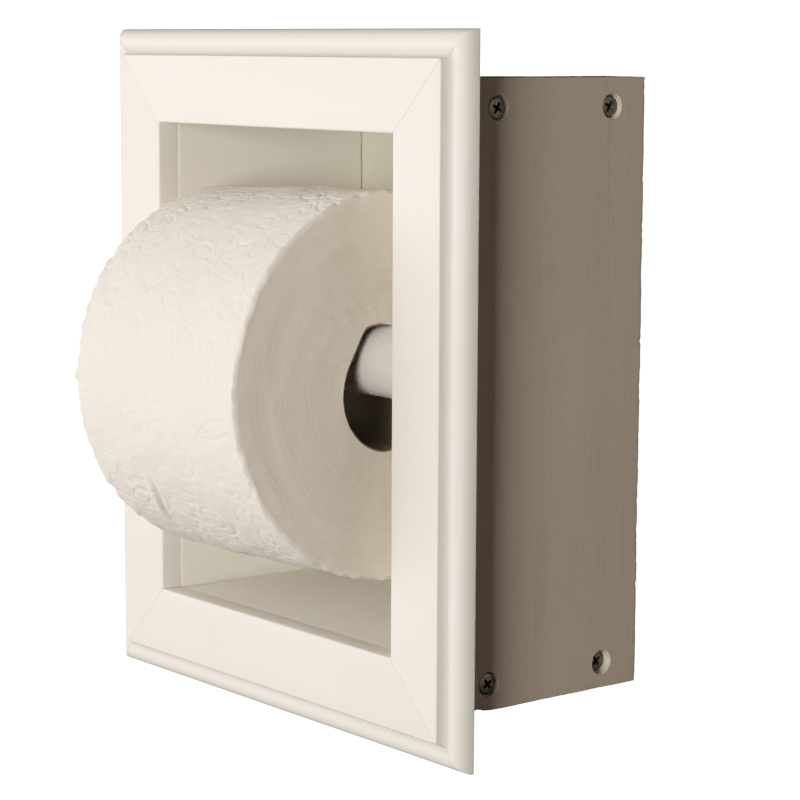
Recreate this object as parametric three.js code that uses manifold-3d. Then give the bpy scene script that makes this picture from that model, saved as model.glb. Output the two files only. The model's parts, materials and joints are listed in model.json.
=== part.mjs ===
// Recessed toilet paper holder: a wooden box for a wall cut-out, a mitred moulding
// frame that covers the edge of the cut-out, a sprung roller and a roll of paper.
// Millimetres. +X is to the right, +Y goes into the wall and +Z is up.
// The origin is the centre of the opening, in the plane of the wall.
import * as THREE from 'three';
import { mergeVertices } from 'three/addons/utils/BufferGeometryUtils.js';
import Module from 'manifold-3d';

const wasm = await Module();
wasm.setup();

// ---------- driving dimensions ----------
const OPENING_WIDTH = 126;
const OPENING_HEIGHT = 160;

const MOULDING_THICKNESS = 7.7;
const FIELD_WIDTH = 22.4;
const BEAD_RADIUS = 5.3;
const BEAD_INSET = 3.35;
const BEAD_STEPS = 12;
const MITRE_GAP = 0.05;

const BOX_WIDTH = 163.2;
const BOX_HEIGHT = 193.6;
const BOX_DEPTH = 78.7;
const SIDE_THICKNESS = 18.9;
const SHELF_THICKNESS = 16.6;
const GLUE_GAP = 0.2;
const PANEL_THICKNESS = 3.2;
const PANEL_INSET = 4.2;

// The screws were set by hand: the four places on a side board are a little uneven.
const SCREW_PLACES = [
  { name: 'bottom_front', y: 16.3, z: -88.3, recess: 0.8 },
  { name: 'bottom_rear', y: 63.5, z: -88.3, recess: 2.6 },
  { name: 'top_front', y: 18, z: 87.6, recess: 0.8 },
  { name: 'top_rear', y: 64.4, z: 87.6, recess: 1.4 },
];
const SCREW_LENGTH = 38;
const SCREW_HEAD_RADIUS = 3.4;
const SCREW_SHANK_RADIUS = 2.1;
const SCREW_HEAD_HEIGHT = 3;
const SCREW_RIM_LOW = 0.7;
const SCREW_RIM_HIGH = 0.3;
const SCREW_DOME_HEIGHT = 0.15;
const SCREW_DOME_EDGE = 0.8;
const SCREW_POINT_LENGTH = 4;
const SCREW_TAPER_LENGTH = 7;
const DRIVE_LENGTH = 4;
const DRIVE_WIDTH = 0.9;
const DRIVE_DEPTH = 1.8;
const COUNTERBORE_RADIUS = 3.85;
const COUNTERBORE_DEPTH = 4.2;
const FIT_GAP = 0.3;
const OVERCUT = 1;

const NAIL_LENGTH = 20;
const NAIL_RADIUS = 0.7;
const NAIL_POINT_LENGTH = 1.5;
const NAIL_HEAD_RADIUS = 1.1;
const NAIL_HEAD_THICKNESS = 0.7;
const NAIL_HEAD_TAPER = 0.3;
const NAIL_SET_DEPTH = 2;
const NAIL_SPREAD_STILE = 50;
const NAIL_SPREAD_RAIL = 35;

const PANEL_NAIL_LENGTH = 14;
const PANEL_NAIL_HEAD_RADIUS = 1.9;
const PANEL_NAIL_HEAD_TOP_RADIUS = 1.7;
const PANEL_NAIL_HEAD_THICKNESS = 0.6;
const PANEL_NAIL_SPREAD_SIDE = 45;
const PANEL_NAIL_SPREAD_SHELF = 35;

const ROLLER_Y = 9;
const ROLLER_Z = 8.3;
const ROLLER_END = 61.7;
const OUTER_TUBE_RADIUS = 11.4;
const OUTER_TUBE_BORE = 10.5;
const OUTER_TUBE_MOUTH = 14;
const MOUTH_LIP_RADIUS = 10.1;
const MOUTH_LIP_LENGTH = 1.5;
const MOUTH_EDGE = 0.4;
const INNER_TUBE_RADIUS = 9.8;
const INNER_TUBE_BORE = 8.6;
const INNER_TUBE_MOUTH = 45;
const RIDGE_RADIUS = 10.2;
const RIDGE_LENGTH = 1;
const RAMP = 0.5;
const END_CAP_THICKNESS = 1.7;
const END_CHAMFER = 1;
const PIN_RADIUS = 3.2;
const PIN_CHAMFER = 0.9;
const PIN_LENGTH = 8.3;
const SOCKET_RADIUS = 3.6;
const SOCKET_DEPTH = 9;
const SPIGOT_RADIUS = 4.2;
const SPIGOT_LENGTH = 6;

const SPRING_RADIUS = 6.5;
const SPRING_WIRE_RADIUS = 0.5;
const SPRING_TURNS = 14;

const ROLL_RADIUS = 61.4;
const ROLL_LENGTH = 90;
const ROLL_RIM_RADIUS = 2.5;
const ROLL_OFFSET_X = -1;
const ROLL_CENTRE_Z = -0.48;
const ROLL_TILT = THREE.MathUtils.degToRad(1.4);
const CORE_BORE = 19.9;
const CORE_WALL = 0.6;
const CORE_RECESS = 0.3;

// Sides of the small round shapes.
const NAIL_SIDES = 8;
const PANEL_NAIL_SIDES = 12;
const SCREW_SIDES = 18;
const SCREW_HOLE_SIDES = 12;
const COUNTERBORE_SIDES = 24;

// ---------- derived places ----------
const halfOpening = { x: OPENING_WIDTH / 2, z: OPENING_HEIGHT / 2 };
const halfBox = { x: BOX_WIDTH / 2, z: BOX_HEIGHT / 2 };
const sideCentreX = halfBox.x - SIDE_THICKNESS / 2;
const sideInnerX = halfBox.x - SIDE_THICKNESS;
const shelfCentreZ = halfBox.z - SHELF_THICKNESS / 2;
const boxFrontY = GLUE_GAP;
const boxCentreY = (boxFrontY + BOX_DEPTH) / 2;
const panelFrontY = BOX_DEPTH + GLUE_GAP;
const nailHeadY = -MOULDING_THICKNESS + NAIL_SET_DEPTH;

// ---------- materials ----------
function finish(color, roughness, metalness = 0) {
  return new THREE.MeshStandardMaterial({ color, roughness, metalness });
}

const whitePaint = () => finish(0xf3ece1, 0.38);
const boxPaint = () => finish(0xece5d8, 0.5);
const hardboard = () => finish(0xd9d0bd, 0.6);
const darkSteel = () => finish(0x5a5651, 0.4, 1);
const nailSteel = () => finish(0x9a9a9a, 0.45, 1);
const whitePlastic = () => finish(0xf4f1ec, 0.25);
const springSteel = () => finish(0xb5b8bb, 0.3, 1);
const cardboard = () => finish(0xa58a68, 0.85);
const tissue = () => finish(0xf3ebe0, 0.95);

// ---------- solid helpers ----------
function toSolid(geometry) {
  const bare = geometry.clone();
  bare.deleteAttribute('normal');
  bare.deleteAttribute('uv');
  const merged = mergeVertices(bare, 1e-4);
  return new wasm.Manifold(new wasm.Mesh({
    numProp: 3,
    vertProperties: new Float32Array(merged.attributes.position.array),
    triVerts: new Uint32Array(merged.index.array),
  }));
}

function toGeometry(solid) {
  const mesh = solid.getMesh();
  const geometry = new THREE.BufferGeometry();
  geometry.setAttribute('position', new THREE.BufferAttribute(mesh.vertProperties, 3));
  geometry.setIndex(new THREE.BufferAttribute(mesh.triVerts, 1));
  geometry.computeVertexNormals();
  return geometry;
}

function cut(body, tools) {
  let solid = toSolid(body);
  for (const tool of tools) {
    solid = solid.subtract(toSolid(tool));
  }
  return toGeometry(solid);
}

// A revolved solid about +Y. The outline is a list of [radius, height] points that
// starts low and ends high on the axis, or runs anticlockwise and closes on itself.
function turned(outline, segments) {
  const points = outline.map(([radius, height]) => new THREE.Vector2(radius, height));
  return new THREE.LatheGeometry(points, segments);
}

// A round cutting tool from one point to another along a main axis.
function drill(axis, radius, from, to, segments) {
  const tool = new THREE.CylinderGeometry(radius, radius, from.distanceTo(to), segments);
  if (axis === 'x') {
    tool.rotateZ(Math.PI / 2);
  }
  if (axis === 'z') {
    tool.rotateX(Math.PI / 2);
  }
  const middle = from.clone().add(to).multiplyScalar(0.5);
  return tool.translate(middle.x, middle.y, middle.z);
}

function drillX(radius, x0, x1, y, z, segments) {
  return drill('x', radius, new THREE.Vector3(x0, y, z), new THREE.Vector3(x1, y, z), segments);
}

function drillY(radius, y0, y1, x, z, segments) {
  return drill('y', radius, new THREE.Vector3(x, y0, z), new THREE.Vector3(x, y1, z), segments);
}

const holder = new THREE.Group();

function add(name, geometry, material, parent = holder) {
  const mesh = new THREE.Mesh(geometry, material);
  mesh.name = name;
  parent.add(mesh);
  return mesh;
}

// ---------- moulding frame ----------
// Cross-section: x is the distance out from the opening, y is the depth, 0 at the wall.
// A flat field, a step down, and a half-round bead that ends at the wall.
function mouldingProfile() {
  const beadCentre = FIELD_WIDTH + BEAD_INSET;
  const startAngle = Math.PI + Math.acos(BEAD_INSET / BEAD_RADIUS);
  const profile = new THREE.Shape();
  profile.moveTo(0, 0);
  profile.lineTo(0, -MOULDING_THICKNESS);
  profile.lineTo(FIELD_WIDTH, -MOULDING_THICKNESS);
  for (let i = 0; i <= BEAD_STEPS; i += 1) {
    const angle = startAngle + ((2 * Math.PI - startAngle) * i) / BEAD_STEPS;
    profile.lineTo(
      beadCentre + BEAD_RADIUS * Math.cos(angle),
      BEAD_RADIUS * Math.sin(angle),
    );
  }
  return profile;
}

// One piece lies along z with 45-degree ends, and has two blind nail holes in its back.
function mouldingPiece(innerLength, nailOut, nailSpread) {
  const piece = new THREE.ExtrudeGeometry(mouldingProfile(), { depth: 1, bevelEnabled: false });
  const position = piece.attributes.position;
  for (let i = 0; i < position.count; i += 1) {
    const reach = innerLength / 2 + position.getX(i) - MITRE_GAP;
    position.setZ(i, position.getZ(i) < 0.5 ? -reach : reach);
  }
  const holeRadius = NAIL_HEAD_RADIUS + FIT_GAP;
  const holes = [-nailSpread, nailSpread].map(
    (z) => drillY(holeRadius, nailHeadY - FIT_GAP, OVERCUT, nailOut, z, NAIL_SIDES),
  );
  return cut(piece, holes);
}

function nail() {
  return turned([
    [0, -NAIL_LENGTH],
    [NAIL_RADIUS, -NAIL_LENGTH + NAIL_POINT_LENGTH],
    [NAIL_RADIUS, -NAIL_HEAD_THICKNESS - NAIL_HEAD_TAPER],
    [NAIL_HEAD_RADIUS, -NAIL_HEAD_THICKNESS],
    [NAIL_HEAD_RADIUS, 0],
    [0, 0],
  ], NAIL_SIDES);
}

function addFramePiece(side, angle, out, innerLength, boardOut, nailSpread, nailNames) {
  const turn = new THREE.Group();
  turn.rotation.y = angle;
  holder.add(turn);
  const nailOut = boardOut - out;
  const piece = add(`frame_${side}`, mouldingPiece(innerLength, nailOut, nailSpread), whitePaint(), turn);
  piece.position.x = out;
  nailNames.forEach((name, i) => {
    const pin = add(`frame_nail_${name}`, nail(), nailSteel(), turn);
    pin.rotation.x = Math.PI;
    pin.position.set(boardOut, nailHeadY, i === 0 ? -nailSpread : nailSpread);
  });
}

const QUARTER = Math.PI / 2;
addFramePiece('stile_right', 0, halfOpening.x, OPENING_HEIGHT, sideCentreX, NAIL_SPREAD_STILE,
  ['right_lower', 'right_upper']);
addFramePiece('stile_left', Math.PI, halfOpening.x, OPENING_HEIGHT, sideCentreX, NAIL_SPREAD_STILE,
  ['left_upper', 'left_lower']);
addFramePiece('rail_top', -QUARTER, halfOpening.z, OPENING_WIDTH, shelfCentreZ, NAIL_SPREAD_RAIL,
  ['top_right', 'top_left']);
addFramePiece('rail_bottom', QUARTER, halfOpening.z, OPENING_WIDTH, shelfCentreZ, NAIL_SPREAD_RAIL,
  ['bottom_left', 'bottom_right']);

// ---------- box ----------
const nailHole = NAIL_RADIUS + FIT_GAP;
const screwHole = SCREW_SHANK_RADIUS + FIT_GAP;
const nailTipY = nailHeadY + NAIL_LENGTH + FIT_GAP;
const panelNailTipY = panelFrontY + PANEL_THICKNESS + GLUE_GAP - PANEL_NAIL_LENGTH - FIT_GAP;
const boardDepth = BOX_DEPTH - boxFrontY;

// Holes in the front and rear edges of a board, at two places along it.
function edgeHoles(placeFront, placeRear) {
  return [-1, 1].flatMap((end) => {
    const [frontX, frontZ] = placeFront(end);
    const [rearX, rearZ] = placeRear(end);
    return [
      drillY(nailHole, boxFrontY - OVERCUT, nailTipY, frontX, frontZ, NAIL_SIDES),
      drillY(nailHole, panelNailTipY, BOX_DEPTH + OVERCUT, rearX, rearZ, NAIL_SIDES),
    ];
  });
}

// A side board laps over the ends of the top and bottom boards. Four counterbored screw
// holes go through it, and a blind socket in its inner face takes a roller pin.
function sideBoard(hand) {
  const board = new THREE.BoxGeometry(SIDE_THICKNESS, boardDepth, BOX_HEIGHT);
  board.translate(hand * sideCentreX, boxCentreY, 0);
  const holes = edgeHoles(
    (end) => [hand * sideCentreX, end * NAIL_SPREAD_STILE],
    (end) => [hand * sideCentreX, end * PANEL_NAIL_SPREAD_SIDE],
  );
  const insideX = hand * (sideInnerX - OVERCUT);
  const outsideX = hand * (halfBox.x + OVERCUT);
  const socketEndX = hand * (sideInnerX + SOCKET_DEPTH);
  holes.push(drillX(SOCKET_RADIUS, insideX, socketEndX, ROLLER_Y, ROLLER_Z, COUNTERBORE_SIDES));
  for (const { y, z, recess } of SCREW_PLACES) {
    const seatX = hand * (halfBox.x - recess - COUNTERBORE_DEPTH);
    holes.push(drillX(screwHole, insideX, outsideX, y, z, SCREW_HOLE_SIDES));
    holes.push(drillX(COUNTERBORE_RADIUS, seatX, outsideX, y, z, COUNTERBORE_SIDES));
  }
  return cut(board, holes);
}

// A top or bottom board sits between the side boards. Pilot holes in its ends take the screws.
function shelfBoard(hand) {
  const board = new THREE.BoxGeometry(2 * (sideInnerX - GLUE_GAP), boardDepth, SHELF_THICKNESS);
  board.translate(0, boxCentreY, hand * shelfCentreZ);
  const holes = edgeHoles(
    (end) => [end * NAIL_SPREAD_RAIL, hand * shelfCentreZ],
    (end) => [end * PANEL_NAIL_SPREAD_SHELF, hand * shelfCentreZ],
  );
  for (const { y, z, recess } of SCREW_PLACES.filter((screw) => screw.z * hand > 0)) {
    for (const end of [-1, 1]) {
      const tip = halfBox.x - recess - SCREW_LENGTH - FIT_GAP;
      const endX = end * (sideInnerX + OVERCUT);
      holes.push(drillX(screwHole, end * tip, endX, y, z, SCREW_HOLE_SIDES));
    }
  }
  return cut(board, holes);
}

add('side_board_left', sideBoard(-1), boxPaint());
add('side_board_right', sideBoard(1), boxPaint());
add('top_board', shelfBoard(1), boxPaint());
add('bottom_board', shelfBoard(-1), boxPaint());

// ---------- back panel and its nails ----------
const panelNails = [
  { name: 'left_lower', x: -sideCentreX, z: -PANEL_NAIL_SPREAD_SIDE },
  { name: 'left_upper', x: -sideCentreX, z: PANEL_NAIL_SPREAD_SIDE },
  { name: 'right_lower', x: sideCentreX, z: -PANEL_NAIL_SPREAD_SIDE },
  { name: 'right_upper', x: sideCentreX, z: PANEL_NAIL_SPREAD_SIDE },
  { name: 'top_left', x: -PANEL_NAIL_SPREAD_SHELF, z: shelfCentreZ },
  { name: 'top_right', x: PANEL_NAIL_SPREAD_SHELF, z: shelfCentreZ },
  { name: 'bottom_left', x: -PANEL_NAIL_SPREAD_SHELF, z: -shelfCentreZ },
  { name: 'bottom_right', x: PANEL_NAIL_SPREAD_SHELF, z: -shelfCentreZ },
];

function backPanel() {
  const panel = new THREE.BoxGeometry(
    BOX_WIDTH - 2 * PANEL_INSET,
    PANEL_THICKNESS,
    BOX_HEIGHT - 2 * PANEL_INSET,
  );
  panel.translate(0, panelFrontY + PANEL_THICKNESS / 2, 0);
  const from = panelFrontY - OVERCUT;
  const to = panelFrontY + PANEL_THICKNESS + OVERCUT;
  const holes = panelNails.map(({ x, z }) => drillY(nailHole, from, to, x, z, NAIL_SIDES));
  return cut(panel, holes);
}

// The head's underside is at height 0, and the shank points down.
function panelNail() {
  return turned([
    [0, -PANEL_NAIL_LENGTH],
    [NAIL_RADIUS, -PANEL_NAIL_LENGTH + NAIL_POINT_LENGTH],
    [NAIL_RADIUS, 0],
    [PANEL_NAIL_HEAD_RADIUS, 0],
    [PANEL_NAIL_HEAD_TOP_RADIUS, PANEL_NAIL_HEAD_THICKNESS],
    [0, PANEL_NAIL_HEAD_THICKNESS],
  ], PANEL_NAIL_SIDES);
}

add('back_panel', backPanel(), hardboard());
for (const { name, x, z } of panelNails) {
  const pin = add(`back_nail_${name}`, panelNail(), nailSteel());
  pin.position.set(x, panelFrontY + PANEL_THICKNESS + GLUE_GAP, z);
}

// ---------- box screws ----------
// Countersunk cross-head screw. The head's rim is at height 0 and the shank points down.
function woodScrew() {
  const screw = turned([
    [0, -SCREW_LENGTH],
    [SCREW_SHANK_RADIUS * 0.8, -SCREW_LENGTH + SCREW_POINT_LENGTH],
    [SCREW_SHANK_RADIUS, -SCREW_LENGTH + SCREW_TAPER_LENGTH],
    [SCREW_SHANK_RADIUS, -SCREW_HEAD_HEIGHT],
    [SCREW_HEAD_RADIUS, -SCREW_RIM_LOW],
    [SCREW_HEAD_RADIUS, -SCREW_RIM_HIGH],
    [SCREW_HEAD_RADIUS * SCREW_DOME_EDGE, 0],
    [0, SCREW_DOME_HEIGHT],
  ], SCREW_SIDES);
  const slot = new THREE.BoxGeometry(DRIVE_LENGTH, 2 * DRIVE_DEPTH, DRIVE_WIDTH);
  return cut(screw, [slot, slot.clone().rotateY(QUARTER)]);
}

for (const [side, hand] of [['left', -1], ['right', 1]]) {
  for (const { name, y, z, recess } of SCREW_PLACES) {
    const screw = add(`box_screw_${side}_${name}`, woodScrew(), darkSteel());
    screw.rotation.z = -hand * QUARTER;
    screw.position.set(hand * (halfBox.x - recess), y, z);
  }
}

// ---------- sprung roller ----------
// Both tubes are turned about the roller's axis, which lies along X. The outer tube closes
// on the right and the inner tube on the left, and each end cap carries a pin outside and
// a spigot for the spring inside.
const TUBE_SEGMENTS = 36;
const capInner = ROLLER_END - END_CAP_THICKNESS;
const pinEnd = ROLLER_END + PIN_LENGTH;

function outerTube() {
  return turned([
    [0, capInner - SPIGOT_LENGTH],
    [SPIGOT_RADIUS, capInner - SPIGOT_LENGTH],
    [SPIGOT_RADIUS, capInner],
    [OUTER_TUBE_BORE, capInner],
    [OUTER_TUBE_BORE, OUTER_TUBE_MOUTH + MOUTH_LIP_LENGTH + RAMP],
    [MOUTH_LIP_RADIUS, OUTER_TUBE_MOUTH + MOUTH_LIP_LENGTH],
    [MOUTH_LIP_RADIUS, OUTER_TUBE_MOUTH],
    [OUTER_TUBE_RADIUS - MOUTH_EDGE, OUTER_TUBE_MOUTH],
    [OUTER_TUBE_RADIUS, OUTER_TUBE_MOUTH + MOUTH_EDGE],
    [OUTER_TUBE_RADIUS, ROLLER_END - END_CHAMFER],
    [OUTER_TUBE_RADIUS - END_CHAMFER, ROLLER_END],
    [PIN_RADIUS, ROLLER_END],
    [PIN_RADIUS, pinEnd - PIN_CHAMFER],
    [PIN_RADIUS - PIN_CHAMFER, pinEnd],
    [0, pinEnd],
  ], TUBE_SEGMENTS);
}

function innerTube() {
  return turned([
    [0, SPIGOT_LENGTH - capInner],
    [SPIGOT_RADIUS, SPIGOT_LENGTH - capInner],
    [SPIGOT_RADIUS, -capInner],
    [INNER_TUBE_BORE, -capInner],
    [INNER_TUBE_BORE, INNER_TUBE_MOUTH],
    [INNER_TUBE_RADIUS, INNER_TUBE_MOUTH],
    [RIDGE_RADIUS, INNER_TUBE_MOUTH - RAMP],
    [RIDGE_RADIUS, INNER_TUBE_MOUTH - RAMP - RIDGE_LENGTH],
    [INNER_TUBE_RADIUS, INNER_TUBE_MOUTH - 2 * RAMP - RIDGE_LENGTH],
    [INNER_TUBE_RADIUS, END_CHAMFER - ROLLER_END],
    [INNER_TUBE_RADIUS - END_CHAMFER, -ROLLER_END],
    [PIN_RADIUS, -ROLLER_END],
    [PIN_RADIUS, PIN_CHAMFER - pinEnd],
    [PIN_RADIUS - PIN_CHAMFER, -pinEnd],
    [0, -pinEnd],
  ].reverse(), TUBE_SEGMENTS);
}

class SpringLine extends THREE.Curve {
  getPoint(t, target = new THREE.Vector3()) {
    const reach = capInner - SPRING_WIRE_RADIUS - FIT_GAP;
    const angle = 2 * Math.PI * SPRING_TURNS * t;
    return target.set(
      SPRING_RADIUS * Math.cos(angle),
      reach * (2 * t - 1),
      SPRING_RADIUS * Math.sin(angle),
    );
  }
}

function spring() {
  const section = new THREE.Shape();
  const corners = 6;
  for (let i = 0; i < corners; i += 1) {
    const angle = (2 * Math.PI * i) / corners;
    const x = SPRING_WIRE_RADIUS * Math.cos(angle);
    const y = SPRING_WIRE_RADIUS * Math.sin(angle);
    if (i === 0) {
      section.moveTo(x, y);
    } else {
      section.lineTo(x, y);
    }
  }
  const stepsPerTurn = 10;
  return new THREE.ExtrudeGeometry(section, {
    steps: SPRING_TURNS * stepsPerTurn,
    extrudePath: new SpringLine(),
  });
}

const roller = new THREE.Group();
roller.position.set(0, ROLLER_Y, ROLLER_Z);
roller.rotation.z = -QUARTER;
holder.add(roller);
add('roller_outer_tube', outerTube(), whitePlastic(), roller);
add('roller_inner_tube', innerTube(), whitePlastic(), roller);
add('roller_spring', spring(), springSteel(), roller);

// ---------- paper roll ----------
// The roll hangs with the top of its core on the roller: on the mouth of the outer tube and
// on the thinner inner tube, so its left end hangs a little lower than its right end.
const ROLL_SEGMENTS = 60;

function coreTube() {
  const halfLength = ROLL_LENGTH / 2 - CORE_RECESS;
  const outer = CORE_BORE + CORE_WALL;
  return turned([
    [CORE_BORE, -halfLength],
    [outer, -halfLength],
    [outer, halfLength],
    [CORE_BORE, halfLength],
    [CORE_BORE, -halfLength],
  ], ROLL_SEGMENTS);
}

// The wound paper is one ring with soft, rounded outer rims.
function woundPaper() {
  const bore = CORE_BORE + CORE_WALL + FIT_GAP;
  const halfLength = ROLL_LENGTH / 2;
  const rimSteps = 3;
  const outline = [[bore, -halfLength]];
  for (const end of [-1, 1]) {
    for (let i = 0; i <= rimSteps; i += 1) {
      const angle = end * QUARTER * (end < 0 ? 1 - i / rimSteps : i / rimSteps);
      outline.push([
        ROLL_RADIUS + ROLL_RIM_RADIUS * (Math.cos(angle) - 1),
        end * (halfLength - ROLL_RIM_RADIUS) + ROLL_RIM_RADIUS * Math.sin(angle),
      ]);
    }
  }
  outline.push([bore, halfLength]);
  outline.push([bore, -halfLength]);
  return turned(outline, ROLL_SEGMENTS);
}

const roll = new THREE.Group();
roll.position.set(ROLL_OFFSET_X, ROLLER_Y, ROLL_CENTRE_Z);
roll.rotation.set(0, -ROLL_TILT, -QUARTER);
holder.add(roll);
add('core_tube', coreTube(), cardboard(), roll);
add('paper_roll', woundPaper(), tissue(), roll);

export default holder;
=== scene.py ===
"""Recessed toilet paper holder: the looks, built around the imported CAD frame.

Metres, +X right, +Y into the wall, +Z up. The origin is the centre of the opening in the
plane of the wall. Each visible piece stands for one CAD node and rides on its body.
"""

import json
import math

import bmesh
import bpy
import numpy as np
from mathutils import Matrix, Vector, noise

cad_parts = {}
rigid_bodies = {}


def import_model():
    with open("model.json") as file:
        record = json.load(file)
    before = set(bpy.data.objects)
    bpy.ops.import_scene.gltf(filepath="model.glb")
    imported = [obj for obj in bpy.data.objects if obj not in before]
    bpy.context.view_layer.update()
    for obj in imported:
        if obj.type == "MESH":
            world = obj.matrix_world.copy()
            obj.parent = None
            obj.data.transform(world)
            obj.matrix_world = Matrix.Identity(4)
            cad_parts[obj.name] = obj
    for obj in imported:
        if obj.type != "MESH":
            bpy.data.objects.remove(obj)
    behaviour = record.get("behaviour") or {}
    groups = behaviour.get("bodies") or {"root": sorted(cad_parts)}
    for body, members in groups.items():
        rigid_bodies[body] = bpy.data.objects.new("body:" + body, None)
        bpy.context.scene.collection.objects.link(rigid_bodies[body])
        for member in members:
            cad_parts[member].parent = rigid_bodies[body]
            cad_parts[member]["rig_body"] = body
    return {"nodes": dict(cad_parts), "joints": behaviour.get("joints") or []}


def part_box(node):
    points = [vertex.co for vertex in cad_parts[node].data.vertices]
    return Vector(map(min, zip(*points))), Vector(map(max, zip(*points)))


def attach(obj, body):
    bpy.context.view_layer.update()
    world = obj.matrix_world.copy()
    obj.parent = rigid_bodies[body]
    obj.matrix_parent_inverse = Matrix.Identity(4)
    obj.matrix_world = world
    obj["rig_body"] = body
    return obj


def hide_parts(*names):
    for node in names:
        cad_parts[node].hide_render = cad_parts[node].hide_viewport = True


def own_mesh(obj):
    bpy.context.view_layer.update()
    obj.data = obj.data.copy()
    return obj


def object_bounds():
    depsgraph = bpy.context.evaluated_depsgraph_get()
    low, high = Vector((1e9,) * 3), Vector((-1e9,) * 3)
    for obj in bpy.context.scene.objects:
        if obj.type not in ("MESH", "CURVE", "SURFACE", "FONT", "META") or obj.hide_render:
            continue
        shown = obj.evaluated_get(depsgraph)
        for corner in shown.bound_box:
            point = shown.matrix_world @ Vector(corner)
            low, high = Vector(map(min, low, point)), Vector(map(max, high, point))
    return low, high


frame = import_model()
cad_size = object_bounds()

MM = 0.001
QUARTER = math.pi / 2

# ---------- places read from the CAD frame ----------
front_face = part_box("frame_stile_right")[0].y
opening_half_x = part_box("frame_stile_right")[0].x
opening_half_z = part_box("frame_rail_top")[0].z
niche_half_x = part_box("side_board_right")[0].x
niche_half_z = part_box("top_board")[0].z
joints = {joint["name"]: joint for joint in frame["joints"]}
roller_y, roller_z = joints["roller_spin"]["pos_m"][1:]

# ---------- sizes of the finer detail ----------
FIELD_WIDTH = 22.4 * MM
BEAD_RADIUS = 5.3 * MM
BEAD_WIDTH = 8.65 * MM
BEAD_FLANK_RADIUS = 4.0 * MM
BEAD_CREST = 3.9 * MM
COVE_RADIUS = 3.2 * MM
COVE_TOP = 7.2 * MM
MITRE_GAP = 0.02 * MM
MITRE_EASE = 0.10 * MM
WIDE_EASE = 0.20 * MM

BOARD_FRONT = 0.02 * MM
FRONT_EASE = 0.16 * MM
ROUGH_RAMP = 6 * MM
CORNER_NICK = 0.30 * MM
REAR_NICK = 0.65 * MM
FACE_SWELL = 0.06 * MM
TOP_DROP = 0.05 * MM
TOP_FALL = 0.0102
CHIP_PLACE = 12.0 * MM
CHIP_WIDTH = 2.6 * MM
CHIP_HEIGHT = 1.3 * MM
SOCKET_RADIUS = 3.6 * MM
SOCKET_MOUTH = 4 * MM
SOCKET_DEPTH = 9 * MM

SCREW_LENGTH = 38 * MM
SCREW_HEAD_RADIUS = 3.4 * MM
SCREW_HEAD_HEIGHT = 3.0 * MM
SCREW_DOME = 0.15 * MM
SCREW_SHANK_RADIUS = 2.1 * MM
SCREW_PITCH = 1.9 * MM
COUNTERBORE_RADIUS = 3.85 * MM
TOP_DRIVE_TURN = math.radians(-27)

ROLLER_END = 61.7 * MM
ROLLER_CAP = ROLLER_END - 1.7 * MM
PLUNGER_MOUTH = 45 * MM

ROLL_RADIUS = 61.4 * MM
ROLL_LENGTH = 90 * MM
ROLL_RIM = 2.0 * MM
ROLL_COLUMNS = 772
EMBOSS_DEPTH = 0.25
EMBOSS_LINE = 0.37
CORE_BORE = 19.9 * MM
CORE_WALL = 0.55 * MM
CORE_RECESS = 0.3 * MM
PAPER_BORE = 20.5 * MM


# ---------- camera, light and floor ----------
def add_object(name, data):
    thing = bpy.data.objects.new(name, data)
    bpy.context.scene.collection.objects.link(thing)
    return thing


def make_camera():
    """A long lens to the right of the holder and a little above it, looking slightly down."""
    place = Vector((0.65968, -0.48241, 0.10628))
    yaw = math.radians(51.294)
    pitch = math.radians(7.944)
    roll = math.radians(0.274)
    level = math.cos(pitch)
    ahead = Vector((-math.sin(yaw) * level, math.cos(yaw) * level, -math.sin(pitch)))
    side = Vector((math.cos(yaw), math.sin(yaw), 0))
    above = side.cross(ahead)
    right = math.cos(roll) * side + math.sin(roll) * above
    up = math.cos(roll) * above - math.sin(roll) * side
    lens = bpy.data.cameras.new("camera")
    lens.sensor_width = 36
    lens.lens = 114.7
    lens.clip_start = 0.05
    lens.clip_end = 50
    camera = add_object("camera", lens)
    turn = Matrix((right, up, -ahead)).transposed().to_4x4()
    camera.matrix_world = Matrix.Translation(place) @ turn
    bpy.context.scene.camera = camera


def area_light(name, azimuth, elevation, distance, size, power, colour):
    """A square lamp aimed at the origin. Azimuth 0 is straight in front, positive to the right."""
    turn, rise = math.radians(azimuth), math.radians(elevation)
    level = math.cos(rise)
    place = distance * Vector((math.sin(turn) * level, -math.cos(turn) * level, math.sin(rise)))
    lamp = bpy.data.lights.new(name, "AREA")
    lamp.size = size
    lamp.energy = power
    lamp.color = colour
    light = add_object(name, lamp)
    light.location = place
    light.rotation_mode = "QUATERNION"
    light.rotation_quaternion = (-place).to_track_quat("-Z", "Y")


def make_lights():
    """Large soft lamps: in front, to the left, above, and one behind the right edge."""
    area_light("near", 28.5, 4, 1.6, 0.6, 25.0, (1, 0.944, 0.862))
    area_light("front_left", -27, 6, 1.6, 0.8, 19.2, (1, 0.872, 0.808))
    area_light("far_left", -60, 4, 1.6, 0.9, 16.6, (1, 0.958, 0.836))
    area_light("above", -27, 40, 1.6, 1.0, 3.2, (1, 0.857, 0.730))
    area_light("right_edge", 120, 0, 1.8, 1.2, 4.3, (1, 0.85, 0.72))


def set_response():
    """A soft shoulder: a level t is shown where the light is t + t cubed."""
    view = bpy.context.scene.view_settings
    view.view_transform = "Standard"
    view.use_curve_mapping = True
    mapping = view.curve_mapping
    brightest = 2.0
    mapping.white_level = (brightest, brightest, brightest)
    curve = mapping.curves[3]
    steps = 10
    for k in range(1, steps):
        shown = k / steps
        curve.points.new((shown + shown**3) / brightest, shown)
    mapping.update()


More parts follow.
